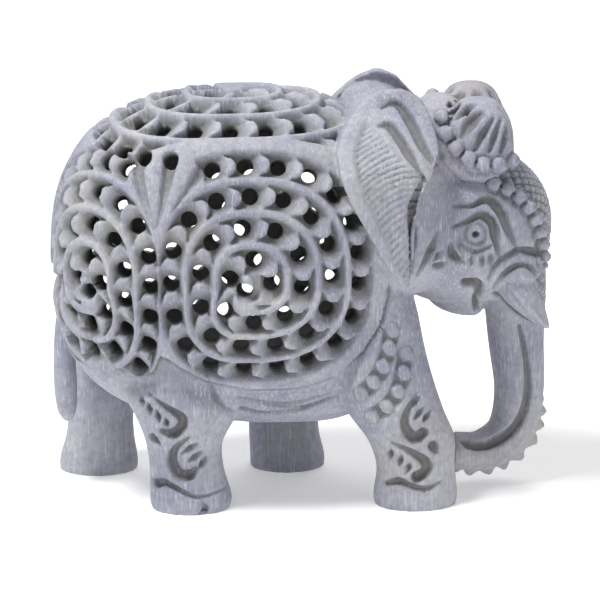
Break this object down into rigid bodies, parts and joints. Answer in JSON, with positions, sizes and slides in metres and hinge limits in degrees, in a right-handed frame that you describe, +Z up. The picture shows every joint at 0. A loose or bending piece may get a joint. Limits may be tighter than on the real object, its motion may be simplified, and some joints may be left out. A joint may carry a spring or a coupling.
{
  "type": "soapstone elephant sculpture",
  "caption": "Walking elephant carved from one block of soapstone, hollow and pierced with spiral openwork, its trunk curled back to a front leg.",
  "frame": {"origin": "on the ground, under the middle of the elephant's bounding box", "axes": "+X the way the elephant faces, +Y to its left, +Z up"},
  "size_m": [0.125, 0.0618, 0.1055],
  "materials": {
    "soapstone": "matt, hand scraped"
  },
  "bodies": {
    "root": {"elephant": "soapstone"}
  },
  "joints": []
}
